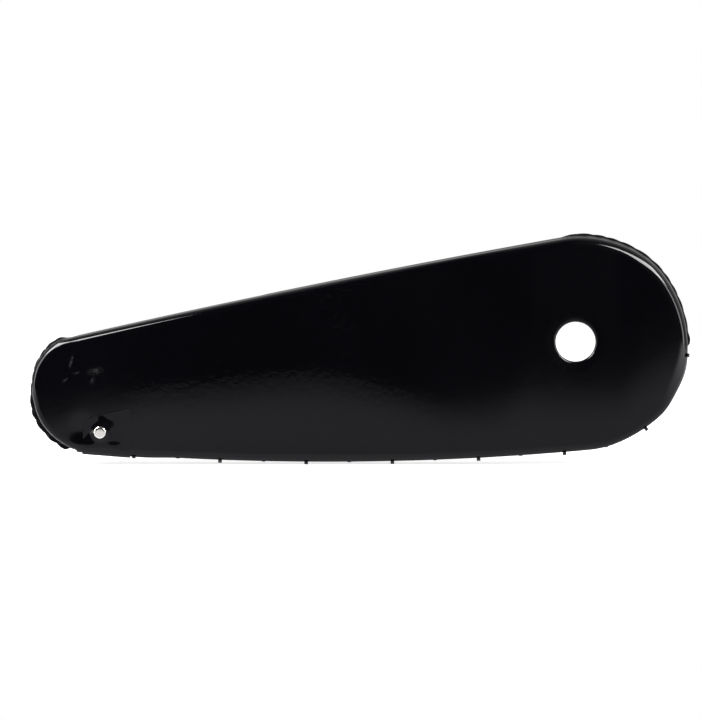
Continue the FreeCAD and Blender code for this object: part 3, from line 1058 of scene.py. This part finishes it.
def tab_seam():
    """Row of stitches that holds the root of the tab to the hem."""
    bm = bmesh.new()
    left, right = STUD_X - TAB_ROUND_R + SEAM_IN, TAB_RIGHT_X - SEAM_IN
    count = round((right - left) / STITCH_PITCH)
    for number in range(count + 1):
        x = left + (right - left) * number / count
        outward = edge_at(x, False, EDGE_R)[1]
        spot = tab_point(x, "back", TAB_BACK - SEAM_IN)
        stitch(bm, spot, Vector((-outward.y, 0.0, outward.x)))
    bmesh.ops.recalc_face_normals(bm, faces=bm.faces)
    return finish_piece("tab_seam", bm, [thread])


# Making the pieces

cover = cloth_cover()
tab = closing_tab()
stud_cap()
front_loop = wire_loop("front_wire_round", "front_wire_loop", FRONT_LOOP_Y)
back_loop = wire_loop("back_wire_round", "back_wire_loop", BACK_LOOP_Y)
spacer_wires()
hem_thread = hem_seam()
tab_thread = tab_seam()

# CAD solids that are shown as they are
bare_nodes = {name: enamel for name in (*HOOK_NODES, "front_fixing_lug", "rear_fixing_lug")}
bare_nodes.update({name: plating for name in ("stud_socket", "stud_ball", "stud_post")})
for name, material in bare_nodes.items():
    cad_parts[name].data.materials.clear()
    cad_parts[name].data.materials.append(material)


# Floor, light and camera

FLOOR_HALF = (2.2, 1.5, 1.0)
FLOOR_X, FLOOR_Y, FLOOR_GAP = -0.21, 0.45, 0.0002
PHOTO_HEIGHT = 720
PIXEL = 0.000973
CAMERA_AIM = (-0.2184, 0.0, -0.0179)
CAMERA_AWAY = 5.0
CAMERA_RISE = radians(4.0)
SENSOR = 36.0


def pale_floor():
    """Floor that looks white to the camera; in the mirror of the lacquer it shows painted light and shade,
    lighter to the sides, to the right and close in front of the case, darker towards its front edge.
    """
    bm = bmesh.new()
    bmesh.ops.create_grid(bm, x_segments=1, y_segments=1, size=1.0)
    bmesh.ops.scale(bm, vec=FLOOR_HALF, verts=bm.verts)
    bmesh.ops.translate(bm, vec=(FLOOR_X, FLOOR_Y, cad_box[0][2] - FLOOR_GAP), verts=bm.verts)
    made, tree, shader = new_material("pale_floor")
    tree.nodes.remove(shader)
    parts = axes(tree, object_place(tree))
    # Painted light and shade for the lacquer to mirror: pale far to the sides and to the right, dark at the
    # front edge, lighter just in front of the case.
    aside = compute(tree, "ABSOLUTE", compute(tree, "ADD", parts["X"], 0.22))
    shade = tint(tree, ramp(tree, aside, 0.38, 1.00), (0.205, 0.205, 0.218), (0.95, 0.95, 0.97))
    shade = tint(tree, ramp(tree, parts["X"], 0.10, 0.40, 0.0, 0.55), shade, (0.95, 0.95, 0.97))
    shade = tint(tree, ramp(tree, parts["Y"], -1.05, -0.62, 0.7, 0.0), shade, (0.06, 0.06, 0.064))
    shade = tint(tree, ramp(tree, parts["Y"], -0.12, -0.03, 0.0, 0.6), shade, (0.42, 0.42, 0.44))
    matt = add(tree, "ShaderNodeBsdfDiffuse", {"Color": shade})
    pale = add(tree, "ShaderNodeBsdfDiffuse", {"Color": (0.62, 0.62, 0.62, 1.0)})
    glow = add(tree, "ShaderNodeEmission", {"Color": (1.0, 1.0, 1.0, 1.0), "Strength": 0.75})
    seen = add(tree, "ShaderNodeLightPath").outputs["Is Camera Ray"]
    lifted = add(tree, "ShaderNodeAddShader", {0: pale.outputs[0], 1: glow.outputs[0]})
    mixed = add(tree, "ShaderNodeMixShader", {0: seen, 1: matt.outputs[0], 2: lifted.outputs[0]})
    tree.links.new(mixed.outputs[0], tree.nodes["Material Output"].inputs["Surface"])
    mesh = bpy.data.meshes.new("pale_floor")
    bm.to_mesh(mesh)
    bm.free()
    mesh.materials.append(made)
    floor = bpy.data.objects.new("pale_floor", mesh)
    bpy.context.scene.collection.objects.link(floor)


def studio_world():
    """White behind the object, a dim room in front of it."""
    world = bpy.data.worlds.new("studio")
    bpy.context.scene.world = world
    world.use_nodes = True
    tree = world.node_tree
    path = add(tree, "ShaderNodeLightPath").outputs
    parts = axes(tree, add(tree, "ShaderNodeTexCoord").outputs["Generated"])
    back = ramp(tree, parts["Y"], -0.55, 0.35, 0.008, 0.66)
    low_back = ramp(tree, parts["Y"], 0.90, 0.985, 0.0, 0.36)
    window = ramp(tree, parts["X"], 0.01, 0.10, 0.0, 0.10)
    room = compute(tree, "ADD", compute(tree, "SUBTRACT", back, low_back), window)
    soft = compute(tree, "MAXIMUM", room, compute(tree, "MULTIPLY", path["Is Diffuse Ray"], 0.35))
    level = compute(tree, "MAXIMUM", soft, path["Is Camera Ray"])
    grey = add(tree, "ShaderNodeCombineXYZ", {0: level, 1: level, 2: level})
    tree.links.new(grey.outputs[0], tree.nodes["Background"].inputs["Color"])


def softbox(name, middle, aim, size, power):
    data = bpy.data.lights.new(name, "AREA")
    data.shape = "RECTANGLE"
    data.size, data.size_y = size
    data.energy = power
    made = bpy.data.objects.new(name, data)
    made.location = middle
    made.rotation_euler = (Vector(aim) - Vector(middle)).to_track_quat("-Z", "Y").to_euler()
    bpy.context.scene.collection.objects.link(made)


def photo_camera():
    data = bpy.data.cameras.new("photo camera")
    made = bpy.data.objects.new("photo camera", data)
    aim = Vector(CAMERA_AIM)
    made.location = aim + Vector((0.0, -CAMERA_AWAY * cos(CAMERA_RISE), CAMERA_AWAY * sin(CAMERA_RISE)))
    made.rotation_euler = (aim - made.location).to_track_quat("-Z", "Y").to_euler()
    data.sensor_fit = "VERTICAL"
    data.sensor_height = SENSOR
    data.lens = SENSOR * CAMERA_AWAY / (PHOTO_HEIGHT * PIXEL)
    data.clip_start = 0.05
    bpy.context.scene.collection.objects.link(made)
    bpy.context.scene.camera = made


pale_floor()
studio_world()
softbox("left softbox", (-0.95, -0.45, 0.72), (-0.40, 0.0, -0.02), (0.65, 0.50), 38.0)
softbox("right softbox", (0.64, -0.45, 0.72), (0.05, 0.0, 0.0), (1.06, 0.36), 38.0)
softbox("left side panel", (-1.45, -0.50, 0.30), (-0.45, 0.0, 0.1), (0.50, 1.15), 19.0)
softbox("right side panel", (1.12, -0.50, 0.30), (0.05, 0.0, 0.1), (0.50, 1.15), 18.0)
photo_camera()
bpy.context.scene.view_settings.view_transform = "Standard"
